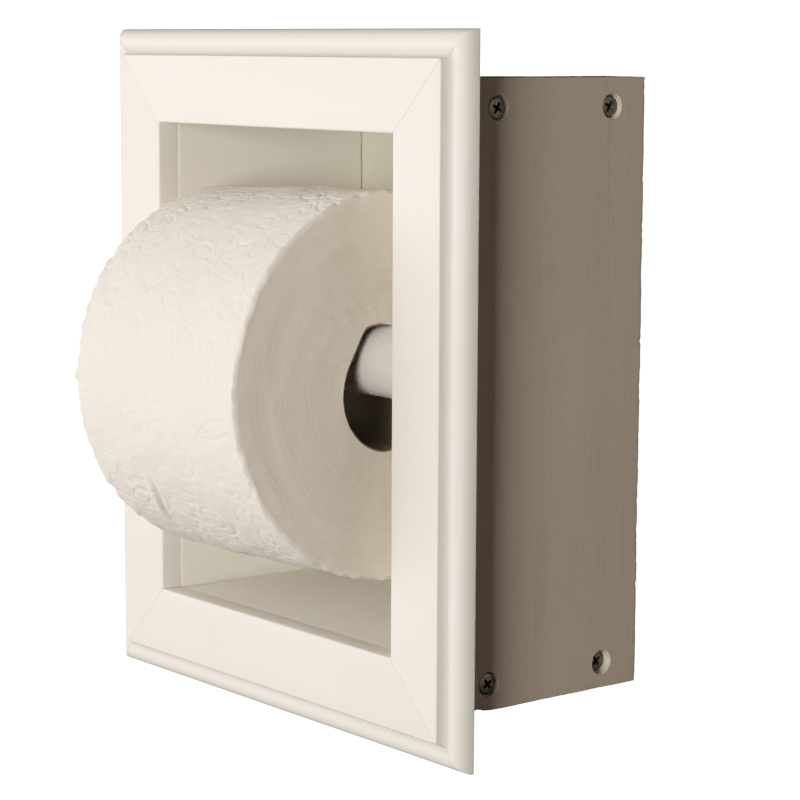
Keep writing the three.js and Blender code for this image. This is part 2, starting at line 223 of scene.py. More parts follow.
def make_world():
    """White to the eye, and almost no source of light: the lamps give nearly all of it."""
    world = bpy.data.worlds.new("studio")
    world.use_nodes = True
    bpy.context.scene.world = world
    tree = world.node_tree
    tree.nodes.clear()
    seen = put(tree, "Background", {"Color": (1, 1, 1, 1), "Strength": 2.5})
    given = put(tree, "Background", {"Color": (1, 0.965, 0.92, 1), "Strength": 0.01})
    is_seen = put(tree, "LightPath").outputs["Is Camera Ray"]
    chosen = put(tree, "MixShader", {0: is_seen, 1: given.outputs[0], 2: seen.outputs[0]})
    put(tree, "OutputWorld", {"Surface": chosen.outputs[0]})


def make_floor():
    """A plain pale floor well below the holder, which hangs on a wall."""
    drop = cad_size[0].z - 0.3
    half = 6
    corners = [(x * half, y * half, drop) for x, y in ((-1, -1), (1, -1), (1, 1), (-1, 1))]
    glow = {"Emission_Color": (1, 1, 1, 1), "Emission_Strength": 2.0}
    plain = [new_material("floor", floor_surface, **glow)]
    floor = new_piece("floor", corners, [(0, 1, 2, 3)], plain)
    floor.visible_diffuse = False
    floor.visible_glossy = False


# ---------- node helpers ----------
def put(tree, kind, inputs=None, **settings):
    """A shader node with its settings made and its inputs set or linked."""
    node = tree.nodes.new("ShaderNode" + kind)
    for key, value in settings.items():
        setattr(node, key, value)
    for key, value in (inputs or {}).items():
        if isinstance(value, bpy.types.NodeSocket):
            tree.links.new(value, node.inputs[key])
        elif value is not None:
            node.inputs[key].default_value = value
    return node


def place_vector(tree, stretch=(1, 1, 1), shift=(0, 0, 0)):
    """The place on the object, stretched so that a texture runs along one direction."""
    here = put(tree, "TexCoord").outputs["Object"]
    return put(tree, "Mapping", {"Vector": here, "Location": shift, "Scale": stretch}).outputs[0]


def noise_value(tree, scale, detail=3, roughness=0.5, vector=None, distortion=0):
    """Noise over the place on the object, or over another vector."""
    if vector is None:
        vector = place_vector(tree)
    inputs = {"Vector": vector, "Scale": scale, "Detail": detail}
    inputs.update({"Roughness": roughness, "Distortion": distortion})
    return put(tree, "TexNoise", inputs).outputs[0]


def remap(tree, value, low, high, to_low=0.0, to_high=1.0, smooth=False):
    inputs = {0: value, 1: low, 2: high, 3: to_low, 4: to_high}
    kind = "SMOOTHSTEP" if smooth else "LINEAR"
    return put(tree, "MapRange", inputs, clamp=True, interpolation_type=kind).outputs[0]


def maths(tree, operation, first, second=0.0):
    return put(tree, "Math", {0: first, 1: second}, operation=operation).outputs[0]


def vector_maths(tree, operation, inputs, output=0):
    return put(tree, "VectorMath", inputs, operation=operation).outputs[output]


def blend_colour(tree, share, first, second):
    """A mix of two colours, each a socket or three numbers."""
    ends = [c if isinstance(c, bpy.types.NodeSocket) else (*c, 1) for c in (first, second)]
    return put(tree, "Mix", {0: share, 6: ends[0], 7: ends[1]}, data_type="RGBA").outputs[2]


def tinted(tree, first, second, field, low, high, most=1.0):
    """The first colour, going to the second as the field rises from low to high."""
    return blend_colour(tree, remap(tree, field, low, high, 0, most), first, second)


def layered(tree, mask, under, over):
    """Colour, roughness and normal of one surface over another, where the mask is 1."""
    colour = blend_colour(tree, mask, under[0], over[0])
    roughness = put(tree, "Mix", {0: mask, 2: under[1], 3: over[1]}, data_type="FLOAT")
    normal = put(tree, "Mix", {0: mask, 4: under[2], 5: over[2]}, data_type="VECTOR")
    return colour, roughness.outputs[0], normal.outputs[1]


def relief(tree, height, depth, under=None):
    """A bump of the given depth in metres over the one under it."""
    inputs = {"Height": height, "Distance": depth, "Normal": under}
    return put(tree, "Bump", inputs).outputs[0]


# ---------- materials ----------
# A surface function gives a colour, a roughness and a normal.
GRAIN = {"x": (0.035, 1, 1), "y": (1, 0.035, 1), "z": (1, 1, 0.035)}
FRAME_TONES = ((0.872, 0.834, 0.785), (0.858, 0.812, 0.754))
# Painted shade: the grey-brown that darkens the groove beside the bead of the moulding.
PAINTED_GROOVE_SHADE = (0.480, 0.445, 0.400)
NICHE_TONES = ((0.893, 0.867, 0.788), (0.878, 0.845, 0.762))
# Painted shade: the back panel's paint is a darker copy of the niche paint, standing in for the
# shadow of the top rail.
PANEL_SHADED_TONES = ((0.835, 0.808, 0.700), (0.820, 0.788, 0.677))
# Painted light: the niche floor's paint is a brighter copy of the niche paint, standing in for
# light the floor lacks.
NICHE_FLOOR_LIT_TONES = ((0.955, 0.940, 0.880), (0.945, 0.925, 0.860))


def new_material(name, surface, **plain):
    """A Principled material. The plain values, by socket, are the same all over it."""
    material = bpy.data.materials.new(name)
    material.use_nodes = True
    tree = material.node_tree
    tree.nodes.clear()
    colour, roughness, normal = surface(tree)
    inputs = {"Base Color": colour, "Roughness": roughness, "Normal": normal}
    inputs.update((socket.replace("_", " "), value) for socket, value in plain.items())
    shader = put(tree, "BsdfPrincipled", inputs)
    put(tree, "OutputMaterial", {"Surface": shader.outputs[0]})
    return material


def floor_surface(tree):
    tone = remap(tree, noise_value(tree, 0.7), 0.3, 0.7, 0.90, 0.92)
    return put(tree, "CombineColor", {0: tone, 1: tone, 2: tone}).outputs[0], 0.9, None


def paint_layer(tree, along, tones):
    """Brushed semi-gloss paint over wood."""
    brush = place_vector(tree, GRAIN[along])
    streaks = noise_value(tree, 1100, 4, 0.65, brush)
    broad = noise_value(tree, 260, 3, 0.5, brush)
    peel = noise_value(tree, 420, 2)
    colour = tinted(tree, *tones, noise_value(tree, 22), 0.35, 0.7)
    roughness = remap(tree, broad, 0.3, 0.7, 0.40, 0.54)
    normal = relief(tree, streaks, 0.035 * MM)
    normal = relief(tree, broad, 0.08 * MM, normal)
    return colour, roughness, relief(tree, peel, 0.02 * MM, normal)


def wood_layer(tree, along):
    """Bare taupe wood with fine straight grain."""
    grain = place_vector(tree, GRAIN[along])
    slow = noise_value(tree, 95, 4, 0.55, grain, 0.6)
    fine = noise_value(tree, 900, 5, 0.7, grain)
    mottle = noise_value(tree, 330, 4, 0.65)
    pores = noise_value(tree, 2600, 2, 0.5, place_vector(tree, GRAIN[along], (3, 1, 2)))
    cloud = noise_value(tree, 14)
    colour = tinted(tree, (0.550, 0.466, 0.390), (0.522, 0.437, 0.362), slow, 0.35, 0.68)
    colour = tinted(tree, colour, (0.440, 0.361, 0.288), fine, 0.4, 0.75, 0.28)
    colour = tinted(tree, colour, (0.449, 0.370, 0.298), mottle, 0.45, 0.75, 0.30)
    colour = tinted(tree, colour, (0.573, 0.488, 0.416), cloud, 0.45, 0.75, 0.35)
    colour = tinted(tree, colour, (0.30, 0.23, 0.17), pores, 0.66, 0.74, 0.4)
    roughness = remap(tree, fine, 0.3, 0.7, 0.55, 0.72)
    normal = relief(tree, fine, 0.06 * MM)
    return colour, roughness, relief(tree, slow, 0.15 * MM, normal)


def coated(name, along, tones, coat_mask, painted_shade_mask=None):
    """Bare wood with paint where coat_mask(tree, place) is 1, and painted shade where the last
    mask says.
    """

    def surface(tree):
        place = put(tree, "SeparateXYZ", {0: place_vector(tree)})
        paint = paint_layer(tree, along, tones)
        if painted_shade_mask is not None:
            # Painted shade: the paint is darkened towards a grey-brown where the mask says.
            paint = (blend_colour(tree, painted_shade_mask(tree, place), paint[0], PAINTED_GROOVE_SHADE), *paint[1:])
        return layered(tree, coat_mask(tree, place), wood_layer(tree, along), paint)

    return new_material(name, surface, Specular_IOR_Level=0.28)


def ragged(tree, size):
    """A small uneven shift for the edge of a coat, in metres."""
    return remap(tree, noise_value(tree, 240, 4, 0.6), 0.3, 0.7, -size, size)


def frame_paint(name, along, shade, half_opening, groove_shade):
    """The moulding is painted all over but for its back, which caught a little spray.

    A thin line of painted shade darkens the groove between the field and the bead.
    """
    across = 0 if along == "z" else 2
    # Painted shade: the tones are darkened by the shade factor on the lengths that the lamps light
    # less.
    tones = [tuple(shade * level for level in tone) for tone in FRAME_TONES]

    def mask(tree, place):
        depth = maths(tree, "ADD", place.outputs[1], ragged(tree, 0.15 * MM))
        return remap(tree, depth, -0.3 * MM, -0.05 * MM, 1, 0, smooth=True)

    # Painted shade in the groove beside the bead, darkest on the bottom rail.
    def groove(tree, place):
        out = maths(tree, "ABSOLUTE", place.outputs[across])
        out = maths(tree, "SUBTRACT", out, half_opening + FIELD_WIDTH)
        near_side = remap(tree, out, -0.5 * MM, 0.3 * MM, 0, groove_shade, smooth=True)
        far_side = remap(tree, out, 1.0 * MM, 4.2 * MM, 1, 0, smooth=True)
        return maths(tree, "MULTIPLY", near_side, far_side)

    return coated(f"{name}_paint", along, tones, mask, groove)


def board_paint(name, axis, inner, along, tones):
    """A box board is painted on its inner face only."""

    def mask(tree, place):
        reach = maths(tree, "ABSOLUTE", place.outputs["xyz".index(axis)])
        reach = maths(tree, "ADD", reach, ragged(tree, 0.25 * MM))
        return remap(tree, reach, inner + 0.5 * MM, inner + 0.9 * MM, 1, 0)

    return coated(f"{name}_board_paint", along, tones, mask)


def cut_wood(tree):
    """The pale fresh wall of a counterbore."""
    rings = noise_value(tree, 900, 4, 0.6, place_vector(tree, (1, 0.4, 0.4)))
    colour = tinted(tree, (0.74, 0.69, 0.62), (0.58, 0.50, 0.42), rings, 0.35, 0.7)
    return colour, 0.75, relief(tree, rings, 0.08 * MM)


def panel_board(tree):
    """Thin hardboard: painted towards the niche, brown and slightly woven behind."""
    place = put(tree, "SeparateXYZ", {0: place_vector(tree)})
    fibre = noise_value(tree, 700, 5, 0.7)
    brown = tinted(tree, (0.33, 0.225, 0.135), (0.225, 0.145, 0.083), fibre, 0.35, 0.7)
    brown = tinted(tree, brown, (0.38, 0.27, 0.17), noise_value(tree, 25), 0.45, 0.7, 0.4)
    bare = (brown, 0.62, relief(tree, fibre, 0.12 * MM))
    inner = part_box("back_panel")[0].y
    mask = remap(tree, place.outputs[1], inner + 0.25 * MM, inner + 0.45 * MM, 1, 0)
    # The painted face is darkened as painted shade.
    return layered(tree, mask, bare, paint_layer(tree, "z", PANEL_SHADED_TONES))


def steel(name, pale, dark, roughness, recess=None):
    """Worn metal. Below recess, a depth from the rim of the head, it is nearly black."""

    def surface(tree):
        stain = noise_value(tree, 620, 5, 0.65)
        scratch = noise_value(tree, 2400, 3, 0.5, place_vector(tree, (1, 0.08, 1)))
        colour = tinted(tree, pale, dark, stain, 0.35, 0.7)
        if recess is not None:
            height = put(tree, "SeparateXYZ", {0: place_vector(tree)}).outputs[2]
            deep = remap(tree, height, -recess, -0.35 * MM, 1, 0, smooth=True)
            colour = blend_colour(tree, deep, colour, (0.030, 0.028, 0.025))
        rough = remap(tree, stain, 0.3, 0.7, roughness - 0.08, roughness + 0.12)
        normal = relief(tree, scratch, 0.02 * MM)
        return colour, rough, relief(tree, stain, 0.04 * MM, normal)

    return new_material(name, surface, Metallic=0.9)


def soft_material(name, surface, weight, radius, scale, **plain):
    """Light spreads a little way inside it before it comes out again."""
    plain.update(Subsurface_Weight=weight, Subsurface_Radius=radius, Subsurface_Scale=scale)
    return new_material(name, surface, **plain)


def roller_plastic(tree):
    cloud = noise_value(tree, 60)
    rub = noise_value(tree, 260)
    colour = tinted(tree, (0.765, 0.741, 0.704), (0.740, 0.714, 0.675), cloud, 0.4, 0.7)
    return colour, remap(tree, rub, 0.35, 0.7, 0.24, 0.32), relief(tree, rub, 0.006 * MM)


def core_cardboard(tree):
    fibre = noise_value(tree, 900, 5, 0.7)
    speck = noise_value(tree, 2500, 2)
    colour = tinted(tree, (0.215, 0.165, 0.118), (0.150, 0.112, 0.079), fibre, 0.35, 0.7)
    colour = tinted(tree, colour, (0.24, 0.195, 0.15), speck, 0.62, 0.7, 0.5)
    return colour, 0.9, relief(tree, fibre, 0.08 * MM)


def crepe_paper(tree):
    """Fine ridges along the roll's axis under a loose fibre texture."""
    crepe = noise_value(tree, 1500, 3, 0.6, place_vector(tree, (0.22, 1, 1)))
    fibre = noise_value(tree, 700, 5, 0.75)
    cloud = noise_value(tree, 45, 4)
    crumple = noise_value(tree, 210, 5, 0.6)
    colour = tinted(tree, (0.858, 0.815, 0.752), (0.840, 0.790, 0.721), cloud, 0.35, 0.7)
    colour = tinted(tree, colour, (0.83, 0.785, 0.725), fibre, 0.5, 0.8, 0.25)
    normal = relief(tree, crepe, 0.06 * MM)
    normal = relief(tree, fibre, 0.10 * MM, normal)
    return colour, 0.95, relief(tree, crumple, 0.34 * MM, normal)


def cut_layers(tree):
    """The cut edges of the wound layers: fine uneven rings about the roll's axis."""
    place = put(tree, "SeparateXYZ", {0: place_vector(tree)})
    across = put(tree, "CombineXYZ", {1: place.outputs[1], 2: place.outputs[2]}).outputs[0]
    radius = vector_maths(tree, "LENGTH", {0: across}, output=1)
    turned = vector_maths(tree, "NORMALIZE", {0: across})
    spread = vector_maths(tree, "SCALE", {0: turned, 3: 5.5 * MM})
    outwards = put(tree, "CombineXYZ", {0: radius}).outputs[0]
    polar = vector_maths(tree, "ADD", {0: spread, 1: outwards})
    rings = noise_value(tree, 900, 4, 0.6, polar)
    bands = noise_value(tree, 190, 3, 0.55, polar)
    fibre = noise_value(tree, 900, 4, 0.7)
    colour = tinted(tree, (0.822, 0.750, 0.661), (0.782, 0.702, 0.606), rings, 0.35, 0.68)
    colour = tinted(tree, colour, (0.807, 0.732, 0.637), bands, 0.4, 0.7, 0.4)
    colour = tinted(tree, colour, (0.885, 0.83, 0.755), fibre, 0.5, 0.8, 0.25)
    normal = relief(tree, rings, 0.13 * MM)
    return colour, 0.95, relief(tree, fibre, 0.10 * MM, normal)


# ---------- mesh helpers ----------
def new_piece(name, vertices, faces, materials=(), smooth=None, slots=None):
    """An object with outward faces. Edges sharper than smooth degrees stay sharp."""
    mesh = bpy.data.meshes.new(name)
    mesh.from_pydata([tuple(v) for v in vertices], [], faces)
    if slots is not None:
        mesh.polygons.foreach_set("material_index", slots)
    work = bmesh.new()
    work.from_mesh(mesh)
    bmesh.ops.recalc_face_normals(work, faces=work.faces)
    work.to_mesh(mesh)
    work.free()
    for material in materials:
        mesh.materials.append(material)
    if smooth is not None:
        smooth_faces(mesh, smooth)
    return add_object(name, mesh)


def smooth_faces(mesh, degrees):
    mesh.shade_smooth()
    mesh.set_sharp_from_angle(angle=math.radians(degrees))


def stands_for(piece, node):
    """The piece rides with a CAD node's body and replaces the node."""
    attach(piece, frame["nodes"][node]["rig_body"])
    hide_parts(node)


def fillet(points, radii, steps=4):
    """A closed outline of (x, y) points with each corner rounded to its own radius."""
    rounded = []
    for i, radius in enumerate(radii):
        corner = Vector(points[i])
        if radius <= 0:
            rounded.append(corner)
            continue
        back = (Vector(points[i - 1]) - corner).normalized()
        ahead = (Vector(points[(i + 1) % len(points)]) - corner).normalized()
        half = back.angle(ahead) / 2
        centre = corner + (back + ahead).normalized() * (radius / math.sin(half))
        first = corner + back * (radius / math.tan(half)) - centre
        last = corner + ahead * (radius / math.tan(half)) - centre
        sweep = first.angle(last)
        for k in range(steps + 1):
            share = k / steps
            spoke = first * math.sin((1 - share) * sweep) + last * math.sin(share * sweep)
            rounded.append(centre + spoke / math.sin(sweep))
    return rounded


def revolve(outline, segments):
    """Vertices and faces of (radius, height) points turned about +Z."""
    vertices, rings = [], []
    for radius, height in outline:
        count = 1 if radius < 1e-9 else segments
        rings.append(range(len(vertices), len(vertices) + count))
        for k in range(count):
            angle = 2 * math.pi * k / segments
            vertices.append((radius * math.cos(angle), radius * math.sin(angle), height))
    faces = []
    for low, high in zip(rings, rings[1:]):
        for k in range(segments):
            ends = ((low, k), (low, k + 1), (high, k + 1), (high, k))
            corners = (ring[at % segments % len(ring)] for ring, at in ends)
            faces.append(tuple(dict.fromkeys(corners)))
    return vertices, [f for f in faces if len(f) > 2]


def grid_faces(columns, rows, closed):
    """Faces over rows of points, each row a ring. Closed: the last row joins the first."""
    faces = []
    for j in range(rows if closed else rows - 1):
        row, above = j * columns, (j + 1) % rows * columns
        for i in range(columns):
            after = (i + 1) % columns
            faces.append((row + i, row + after, above + after, above + i))
    if not closed:
        faces.append(tuple(range(columns)))
        faces.append(tuple(range((rows - 1) * columns, rows * columns)))
    return faces


def carve(piece, cutter):
    """Cuts the cutter's volume out of the piece. The cut walls take the cutter's material."""
    cutting = piece.modifiers.new("carve", "BOOLEAN")
    cutting.operation = "DIFFERENCE"
    cutting.solver = "EXACT"
    cutting.material_mode = "TRANSFER"
    cutting.object = cutter
    graph = bpy.context.evaluated_depsgraph_get()
    mesh = bpy.data.meshes.new_from_object(piece.evaluated_get(graph))
    piece.modifiers.clear()
    piece.data = mesh
    bpy.data.objects.remove(cutter)


def joined(parts):
    """One list of vertices and one of faces from several (vertices, faces)."""
    vertices, faces = [], []
    for part_vertices, part_faces in parts:
        start = len(vertices)
        vertices.extend(part_vertices)
        faces.extend(tuple(start + i for i in face) for face in part_faces)
    return vertices, faces


def moved(part, matrix):
    vertices, faces = part
    return [matrix @ Vector(v) for v in vertices], faces


def along_x(hand):
    """Turns +Z onto +X or -X."""
    return Matrix.Rotation(hand * QUARTER, 4, "Y")


# ---------- moulding frame ----------
def bead_flank(out):
    """Depth of the bead's inner flank, at a place out from its crest."""
    return BEAD_FLANK_RADIUS - math.sqrt(BEAD_FLANK_RADIUS**2 - out**2) - BEAD_RADIUS


def moulding_profile():
    """Points of (distance out from the opening, depth): a flat field, a cove and a bead."""
    crest = FIELD_WIDTH + BEAD_CREST
    outer = BEAD_WIDTH - BEAD_CREST
    steps = 12
    bead = []
    for k in range(steps):
        angle = QUARTER * k / steps
        out = FIELD_WIDTH + COVE_RADIUS * (1 - math.cos(angle))
        depth = COVE_RADIUS * math.sin(angle) - COVE_TOP
        if depth > bead_flank(out - crest):
            break
        bead.append((out, depth))
    valley = bead[-1][0] - crest
    for k in range(1, steps):
        out = valley * (1 - k / steps)
        bead.append((crest + out, bead_flank(out)))
    for k in range(steps + 1):
        angle = QUARTER * k / steps
        bead.append((crest + outer * math.sin(angle), -BEAD_RADIUS * math.cos(angle)))
    corners = [(0, 0), (0, front_face), (FIELD_WIDTH, front_face)]
    radii = [0.25 * MM, 0.7 * MM, 0.4 * MM] + [0] * len(bead)
    outline = fillet(corners + bead, radii)
    dense = []
    for point, following in zip(outline, outline[1:] + outline[:1]):
        dense.append(point)
        if (following - point).length > 8 * MM:
            dense.extend(point.lerp(following, share) for share in (0.2, 0.4, 0.6, 0.8))
    return dense


def inset_outline(outline, amount):
    """The closed outline moved inwards."""
    count = len(outline)
    area = sum(outline[i - 1].cross(outline[i]) for i in range(count))
    turn = 1 if area > 0 else -1
    inset = []
    for i, point in enumerate(outline):
        along = (outline[(i + 1) % count] - outline[i - 1]).normalized()
        inset.append(point + turn * amount * Vector((-along.y, along.x)))
    return inset


def moulding_piece(kind, side, angle, halves, along, shade, ease, groove_shade):
    """One mitred length. Its local x is out from the opening and its local z is along it.

    halves are the opening's half width across the length and its half length along it.
    """
    name = f"moulding_{side}"
    profile = moulding_profile()
    eased = inset_outline(profile, ease)
    sections = 60
    vertices = []
    for k in range(-1, sections + 2):
        outline = eased if k in (-1, sections + 1) else profile
        share = min(max(2 * k / sections - 1, -1), 1)
        for (out, depth), (full_out, _) in zip(outline, profile):
            reach = halves[1] + full_out - MITRE_GAP
            if 0 <= k <= sections:
                reach -= ease
            here = Vector((out, depth, share * reach))
            bumpy = noise.noise(here * 30 + Vector((angle * 7, 3, 1))) * 0.08 * MM
            fall = min(1, abs(depth) / (3 * MM))
            here.y += bumpy * fall
            here.x += noise.noise(here * 22 + Vector((5, angle * 9, 2))) * 0.05 * MM * fall
            vertices.append(here)
    faces = grid_faces(len(profile), sections + 3, closed=False)
    paint = frame_paint(name, along, shade, halves[0], groove_shade)
    piece = new_piece(name, vertices, faces, [paint], smooth=38)
    turn = Matrix.Rotation(angle, 4, "Y")
    piece.data.transform(turn @ Matrix.Translation((halves[0], 0, 0)))
    stands_for(piece, f"frame_{kind}_{side}")


def make_moulding():
    """The left stile and the bottom rail are painted a little darker than the other two: painted
    shade for light that falls off away from the upper right.
    """
    upright = (opening_half_x, opening_half_z)
    level = (opening_half_z, opening_half_x)
    # The number before the ease darkens the whole length as painted shade; the last number is the
    # painted shade in its groove.
    moulding_piece("stile", "right", 0, upright, "z", 1, WIDE_EASE, 0.26)
    moulding_piece("stile", "left", math.pi, upright, "z", 0.95, MITRE_EASE, 0.26)
    moulding_piece("rail", "top", -QUARTER, level, "x", 1, MITRE_EASE, 0.45)
    moulding_piece("rail", "bottom", QUARTER, level, "x", 0.945, WIDE_EASE, 0.75)


# ---------- box ----------
def gridded_block(low, high, ease, cell):
    """A block with eased edges, crisp at the front, and cut by planes a cell apart."""
    work = bmesh.new()
    bmesh.ops.create_cube(work, size=1)
    size = high - low
    for vertex in work.verts:
        vertex.co = Vector((vertex.co[i] * size[i] for i in range(3))) + (low + high) / 2
    for front, offset in ((False, ease), (True, FRONT_EASE)):
        edges = []
        for edge in work.edges:
            if (max(v.co.y for v in edge.verts) < low.y + 1e-6) == front:
                edges.append(edge)
        shape = {"segments": 3, "profile": 0.5, "affect": "EDGES", "clamp_overlap": True}
        bmesh.ops.bevel(work, geom=edges, offset=offset, **shape)
    for axis in range(3):
        pieces = max(1, round(size[axis] / cell))
        normal = Vector((0, 0, 0))
        normal[axis] = 1
        for k in range(1, pieces):
            at = Vector((0, 0, 0))
            at[axis] = low[axis] + size[axis] * k / pieces
            everything = work.verts[:] + work.edges[:] + work.faces[:]
            bmesh.ops.bisect_plane(work, geom=everything, plane_co=at, plane_no=normal)
    return work


def board_mesh(low, high, ease, cell):
    """A board with nicked edges and slightly uneven faces, smoother towards the front."""
    work = gridded_block(low, high, ease, cell)
    middle = (low + high) / 2
    for vertex in work.verts:
        co = vertex.co
        near = [min(co[i] - low[i], high[i] - co[i]) < 1.2 * ease for i in range(3)]
        rough = min(1, max(0, (co.y - low.y) / ROUGH_RAMP))
        if sum(near) >= 2:
            nick = abs(noise.noise(co * 330)) ** 1.3 + 0.6 * abs(noise.noise(co * 60))
            for i in range(3):
                if near[i]:
                    depth = REAR_NICK if i == 1 else CORNER_NICK
                    co[i] -= math.copysign(depth * nick * rough, co[i] - middle[i])
        elif sum(near) == 1:
            i = near.index(True)
            swell = 1 + noise.noise(co * 26)
            co[i] -= math.copysign(FACE_SWELL * swell * rough, co[i] - middle[i])
    mesh = bpy.data.meshes.new("board")
    work.to_mesh(mesh)
    work.free()
    return mesh


def board(name, node, materials, ease=0.5 * MM, cell=3 * MM):
    """A board as big as its node. The four that the moulding covers start just behind it."""
    low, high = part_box(node)
    if node != "back_panel":
        low.y = BOARD_FRONT
    mesh = board_mesh(low, high, ease, cell)
    if node in ("side_board_left", "top_board"):
        lower_top(mesh, low, high)
    for material in materials:
        mesh.materials.append(material)
    return add_object(name, mesh)


def lower_top(mesh, low, high):
    """The top of the box falls away a little to the left of the right side board."""
    start = max(low.z, 0)
    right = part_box("side_board_right")[1].x
    for vertex in mesh.vertices:
        co = vertex.co
        drop = TOP_DROP + TOP_FALL * (right - co.x)
        co.z -= drop * max(0, (co.z - start) / (high.z - start))


def chip_lower_edge(mesh, low, high):
    """A small chip out of the lower outer edge, close behind the moulding."""
    for vertex in mesh.vertices:
        co = vertex.co
        outward = min(1, max(0, (co.x - high.x + 4 * MM) / (3 * MM)))
        downward = min(1, max(0, (low.z + 3.5 * MM - co.z) / (2.5 * MM)))
        along = math.exp(-(((co.y - CHIP_PLACE) / CHIP_WIDTH) ** 2))
        torn = 0.7 + 0.9 * abs(noise.noise(co * 900))
        co.z += CHIP_HEIGHT * along * outward * downward * torn


def screw_nodes(side):
    return [n for n in frame["nodes"] if n.startswith(f"box_screw_{side}")]


def screw_seat(node, hand):
    """The centre of a screw head's rim, under its dome."""
    low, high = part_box(node)
    middle = (low + high) / 2
    top = high.x if hand > 0 else low.x
    return Vector((top - hand * SCREW_DOME, middle.y, middle.z))


def counterbore(depth):
    """A cutter along +Z whose mouth is at height 0: a slightly flared bore with a cone seat."""
    floor = -depth - 0.7 * MM
    shank = SCREW_SHANK_RADIUS + 0.3 * MM
    outline = [
        (0, floor - 30 * MM),
        (shank, floor - 30 * MM),
        (shank, floor - 2.6 * MM),
        (SCREW_HEAD_RADIUS + 0.1 * MM, floor),
        (COUNTERBORE_RADIUS - 0.08 * MM, floor + 0.2 * MM),
        (COUNTERBORE_RADIUS, -0.3 * MM),
        (COUNTERBORE_RADIUS + 0.3 * MM, 0),
        (COUNTERBORE_RADIUS + 0.5 * MM, 3 * MM),
        (0, 3 * MM),
    ]
    return revolve(outline, 48)


def pin_socket():
    """A cutter along +Z, from the bottom of a blind socket out past its mouth at height 0."""
    outline = [
        (0, -SOCKET_DEPTH),
        (SOCKET_RADIUS, -SOCKET_DEPTH),
        (SOCKET_RADIUS, -0.4 * MM),
        (SOCKET_MOUTH, 0),
        (SOCKET_MOUTH, 2 * MM),
        (0, 2 * MM),
    ]
    return revolve(outline, 48)


def make_side_board(side, hand, wood, cut):
    node = f"side_board_{side}"
    low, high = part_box(node)
    piece = board(f"board_{side}", node, [wood, cut], cell=1.6 * MM)
    if side == "right":
        chip_lower_edge(piece.data, low, high)
    outer = high.x if hand > 0 else low.x
    cutters = []
    for screw in screw_nodes(side):
        seat = screw_seat(screw, hand)
        mouth = Matrix.Translation((outer, seat.y, seat.z))
        cutters.append(moved(counterbore(abs(outer - seat.x)), mouth @ along_x(hand)))
    mouth = Matrix.Translation((hand * niche_half_x, roller_y, roller_z))
    cutters.append(moved(pin_socket(), mouth @ along_x(-hand)))
    carve(piece, new_piece("cutter", *joined(cutters), [cut]))
    finish_board(piece, node)


def finish_board(piece, node):
    smooth_faces(piece.data, 32)
    stands_for(piece, node)


def make_box():
    cut = new_material("cut_wood", cut_wood)
    wood = board_paint("side", "x", niche_half_x, "z", NICHE_TONES)
    make_side_board("left", -1, wood, cut)
    make_side_board("right", 1, wood, cut)
    # The bottom board's brighter paint is painted light.
    for level, tones in (("top", NICHE_TONES), ("bottom", NICHE_FLOOR_LIT_TONES)):
        wood = board_paint(level, "z", niche_half_z, "x", tones)
        node = f"{level}_board"
        finish_board(board(f"board_{level}", node, [wood]), node)
    hardboard = [new_material("panel_board", panel_board)]
    panel = board("back_sheet", "back_panel", hardboard, 0.3 * MM, 6 * MM)
    finish_board(panel, "back_panel")


# ---------- screws and nails ----------
def cut_thread(vertices, low, high):
    """Raises a single-start ridge on a shank along +Z, fading out at both ends."""
    threaded = []
    for x, y, z in vertices:
        if low < z < high + 0.1 * MM:
            phase = z / SCREW_PITCH - math.atan2(y, x) / (2 * math.pi)
            ridge = max(0, 1 - 3.2 * abs(phase - round(phase)))
            fade = min(1, (z - low) / (4 * MM), max(0, (high - z) / (2 * MM)))
            radius = math.hypot(x, y)
            grow = (radius + 0.62 * MM * ridge * fade) / radius
            x, y = x * grow, y * grow
        threaded.append((x, y, z))
    return threaded


def screw_mesh():
    """A cross-head wood screw along +Z, the rim of its head at height 0."""
    core = 1.45 * MM
    shank = 1.75 * MM
    rows_per_turn = 8
    low, high = -SCREW_LENGTH + 1.2 * MM, -10 * MM
    rows = round((high - low) / SCREW_PITCH * rows_per_turn)
    outline = [(0, -SCREW_LENGTH)]
    for k in range(rows + 1):
        height = low + (high - low) * k / rows
        outline.append((min(core, 0.35 * MM + 0.32 * (height - low)), height))
    outline += [
        (shank, -9.4 * MM),
        (shank, -SCREW_HEAD_HEIGHT),
        (SCREW_HEAD_RADIUS - 0.1 * MM, -0.75 * MM),
        (SCREW_HEAD_RADIUS, -0.6 * MM),
        (SCREW_HEAD_RADIUS, -0.3 * MM),
        (SCREW_HEAD_RADIUS - 0.12 * MM, -0.12 * MM),
    ]
    dome = [(0.93, -0.05 * MM), (0.8, 0.03 * MM), (0.6, 0.09 * MM), (0.35, 0.13 * MM)]
    outline += [(SCREW_HEAD_RADIUS * share, height) for share, height in dome]
    outline.append((0, SCREW_DOME))
    vertices, faces = revolve(outline, 28)
    tones = (0.185, 0.172, 0.155), (0.060, 0.055, 0.048)
    finish = steel("screw_steel", *tones, 0.34, recess=1.3 * MM)
    screw = new_piece("screw", cut_thread(vertices, low, high), faces, [finish])
    for turn in (0, QUARTER):
        carve(screw, cross_wing(turn))
    smooth_faces(screw.data, 30)
    mesh = screw.data
    bpy.data.objects.remove(screw)
    return mesh


